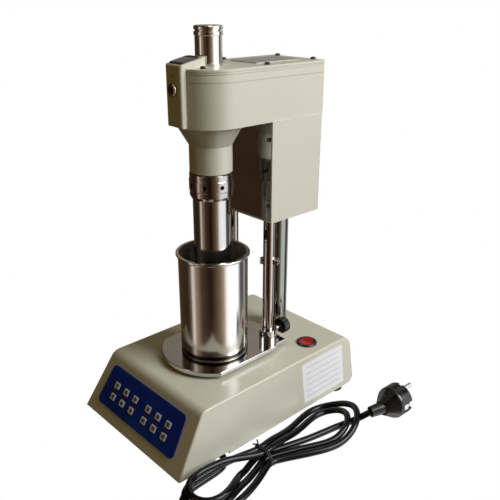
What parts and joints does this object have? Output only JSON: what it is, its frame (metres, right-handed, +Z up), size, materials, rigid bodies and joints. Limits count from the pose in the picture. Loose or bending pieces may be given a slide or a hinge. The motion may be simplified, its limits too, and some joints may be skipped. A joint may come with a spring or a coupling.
{
  "type": "rotational viscometer",
  "caption": "Bench rotational viscometer: cream base with sloped blue keypad, guide rods, steel sample cup on a sliding stage, rotor and bob under a painted head, mains lead.",
  "frame": {"origin": "bottom centre of the instrument, on the bench under its rubber feet", "axes": "+Z up; -Y is the front, where the keypad faces; +X is on the user's right"},
  "size_m": [0.2716, 0.3104, 0.4316],
  "materials": {
    "paint": "smooth satin cream enamel",
    "sheet_dark": "dark grey coated sheet",
    "rubber_foot": "matt rubber",
    "keypad_film": "blue overlay film",
    "circuit_board": "green board",
    "laminated_steel": "varnished laminations",
    "black_plastic": "satin black moulding",
    "red_plastic": "glossy red moulding",
    "key_white": "satin white keys",
    "bright_steel": "ground and polished",
    "fastener_steel": "plated",
    "stage_aluminium": "fine brushed",
    "stainless": "polished stainless steel",
    "brass_gear": "cut brass",
    "bearing_steel": "ground steel",
    "motor_steel": "plated steel can",
    "dial_white": "matt white",
    "spring_steel": "drawn wire",
    "lens_glass": "dark green tinted window",
    "cord_rubber": "satin black sheath",
    "plug_rubber": "matt black moulding",
    "plug_metal": "nickel-plated contacts"
  },
  "bodies": {
    "frame": {"base_housing": "paint", "base_plate": "sheet_dark", "base_feet": "rubber_foot", "keypad_panel": "keypad_film", "keypad_board": "circuit_board", "control_board": "circuit_board", "transformer": "laminated_steel", "switch_bezel": "black_plastic", "guide_rods": "bright_steel", "main_column": "bright_steel", "rod_collars": "bright_steel", "stop_bolt": "fastener_steel", "spindle_bearings": "bearing_steel", "motor": "motor_steel", "bob_bearings": "bearing_steel", "spring_anchor": "fastener_steel", "head_housing": "paint", "head_lid": "paint", "lid_screws": "fastener_steel", "viewer_block": "paint", "viewer_frame": "black_plastic", "viewer_lens": "lens_glass", "lamp_cap": "black_plastic", "lower_box": "paint", "box_front": "stainless", "box_screws": "fastener_steel", "cord_runs": "cord_rubber", "cord_hank": "cord_rubber", "strain_relief": "black_plastic", "plug_body": "plug_rubber", "plug_pins": "plug_metal"},
    "stage": {"stage_plate": "stage_aluminium", "stage_hubs": "stage_aluminium"},
    "lock": {"lock_stud": "fastener_steel", "lock_knob": "black_plastic"},
    "cup": {"sample_cup": "stainless"},
    "rotor": {"rotor_sleeve": "stainless", "rotor_collar": "stainless", "rotor_spindle": "bright_steel", "rotor_gear": "brass_gear"},
    "idler": {"idler_gear": "brass_gear"},
    "motor_shaft": {"motor_pinion": "bright_steel"},
    "bob_assembly": {"bob": "stainless", "bob_shaft": "bright_steel", "dial": "dial_white", "torsion_spring": "spring_steel"},
    "cap": {"spring_cap": "bright_steel"},
    "rocker": {"switch_rocker": "red_plastic"},
    "key_body_01": {"key_01": "key_white"},
    "key_body_02": {"key_02": "key_white"},
    "key_body_03": {"key_03": "key_white"},
    "key_body_04": {"key_04": "key_white"},
    "key_body_05": {"key_05": "key_white"},
    "key_body_06": {"key_06": "key_white"},
    "key_body_07": {"key_07": "key_white"},
    "key_body_08": {"key_08": "key_white"},
    "key_body_09": {"key_09": "key_white"},
    "key_body_10": {"key_10": "key_white"},
    "key_body_11": {"key_11": "key_white"},
    "key_body_12": {"key_12": "key_white"}
  },
  "joints": [
    {"name": "stage_lift", "type": "slide", "parent": "frame", "child": "stage", "axis": [0, 0, 1], "range_m": [0, 0.08]},
    {"name": "lock_turn", "type": "hinge", "parent": "stage", "child": "lock", "pos_m": [0.0305, 0.069, 0.086], "axis": [0, 1, 0], "range_deg": [0, 180]},
    {"name": "cup_lift", "type": "slide", "parent": "stage", "child": "cup", "axis": [0, 0, 1], "range_m": [0, 0.012]},
    {"name": "rotor_spin", "type": "hinge", "parent": "frame", "child": "rotor", "pos_m": [0, -0.013, 0.3], "axis": [0, 0, 1], "continuous": true},
    {"name": "idler_spin", "type": "hinge", "parent": "frame", "child": "idler", "pos_m": [0, 0.037, 0.35], "axis": [0, 0, 1], "continuous": true},
    {"name": "motor_spin", "type": "hinge", "parent": "frame", "child": "motor_shaft", "pos_m": [0, 0.075, 0.35], "axis": [0, 0, 1], "continuous": true},
    {"name": "bob_deflect", "type": "hinge", "parent": "frame", "child": "bob_assembly", "pos_m": [0, -0.013, 0.3], "axis": [0, 0, 1], "range_deg": [0, 300], "stiffness_Nm_per_rad": 0.0022},
    {"name": "cap_lift", "type": "slide", "parent": "frame", "child": "cap", "axis": [0, 0, 1], "range_m": [0, 0.04]},
    {"name": "switch_rock", "type": "hinge", "parent": "frame", "child": "rocker", "pos_m": [0.06, 0.081, 0.0672], "axis": [-1, 0, 0], "range_deg": [0, 14]},
    {"name": "key_01_press", "type": "slide", "parent": "frame", "child": "key_body_01", "axis": [0, 0.8495, -0.5275], "range_m": [0, 0.0005], "stiffness_N_per_m": 900, "springref_m": -0.0002},
    {"name": "key_02_press", "type": "slide", "parent": "frame", "child": "key_body_02", "axis": [0, 0.8495, -0.5275], "range_m": [0, 0.0005], "stiffness_N_per_m": 900, "springref_m": -0.0002},
    {"name": "key_03_press", "type": "slide", "parent": "frame", "child": "key_body_03", "axis": [0, 0.8495, -0.5275], "range_m": [0, 0.0005], "stiffness_N_per_m": 900, "springref_m": -0.0002},
    {"name": "key_04_press", "type": "slide", "parent": "frame", "child": "key_body_04", "axis": [0, 0.8495, -0.5275], "range_m": [0, 0.0005], "stiffness_N_per_m": 900, "springref_m": -0.0002},
    {"name": "key_05_press", "type": "slide", "parent": "frame", "child": "key_body_05", "axis": [0, 0.8495, -0.5275], "range_m": [0, 0.0005], "stiffness_N_per_m": 900, "springref_m": -0.0002},
    {"name": "key_06_press", "type": "slide", "parent": "frame", "child": "key_body_06", "axis": [0, 0.8495, -0.5275], "range_m": [0, 0.0005], "stiffness_N_per_m": 900, "springref_m": -0.0002},
    {"name": "key_07_press", "type": "slide", "parent": "frame", "child": "key_body_07", "axis": [0, 0.8495, -0.5275], "range_m": [0, 0.0005], "stiffness_N_per_m": 900, "springref_m": -0.0002},
    {"name": "key_08_press", "type": "slide", "parent": "frame", "child": "key_body_08", "axis": [0, 0.8495, -0.5275], "range_m": [0, 0.0005], "stiffness_N_per_m": 900, "springref_m": -0.0002},
    {"name": "key_09_press", "type": "slide", "parent": "frame", "child": "key_body_09", "axis": [0, 0.8495, -0.5275], "range_m": [0, 0.0005], "stiffness_N_per_m": 900, "springref_m": -0.0002},
    {"name": "key_10_press", "type": "slide", "parent": "frame", "child": "key_body_10", "axis": [0, 0.8495, -0.5275], "range_m": [0, 0.0005], "stiffness_N_per_m": 900, "springref_m": -0.0002},
    {"name": "key_11_press", "type": "slide", "parent": "frame", "child": "key_body_11", "axis": [0, 0.8495, -0.5275], "range_m": [0, 0.0005], "stiffness_N_per_m": 900, "springref_m": -0.0002},
    {"name": "key_12_press", "type": "slide", "parent": "frame", "child": "key_body_12", "axis": [0, 0.8495, -0.5275], "range_m": [0, 0.0005], "stiffness_N_per_m": 900, "springref_m": -0.0002}
  ],
  "couplings": [
    {"joint": "idler_spin", "follows": "rotor_spin", "ratio": -0.92308},
    {"joint": "motor_spin", "follows": "rotor_spin", "ratio": 2}
  ]
}
